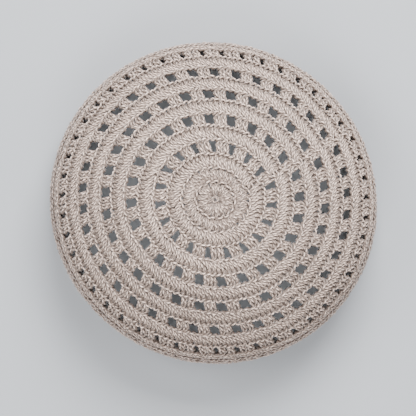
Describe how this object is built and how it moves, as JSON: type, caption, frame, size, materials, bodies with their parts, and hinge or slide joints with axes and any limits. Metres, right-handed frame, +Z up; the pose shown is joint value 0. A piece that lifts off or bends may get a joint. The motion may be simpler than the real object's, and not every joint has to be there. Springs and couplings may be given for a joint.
{
  "type": "crocheted kufi",
  "caption": "Round crocheted kufi cap with a domed openwork crown of eyelet rounds, an upright side band and a firm rim edging.",
  "frame": {"origin": "on the ground under the middle of the cap, at the bottom of the rim edging", "axes": "+Z up through the crown's middle, Y front to back along the cap's longer diameter, X across it"},
  "size_m": [0.1876, 0.1924, 0.086],
  "materials": {
    "cotton_yarn": "twisted cotton yarn, soft sheen"
  },
  "bodies": {
    "root": {"crown": "cotton_yarn", "side_band": "cotton_yarn", "rim_edging": "cotton_yarn"}
  },
  "joints": []
}
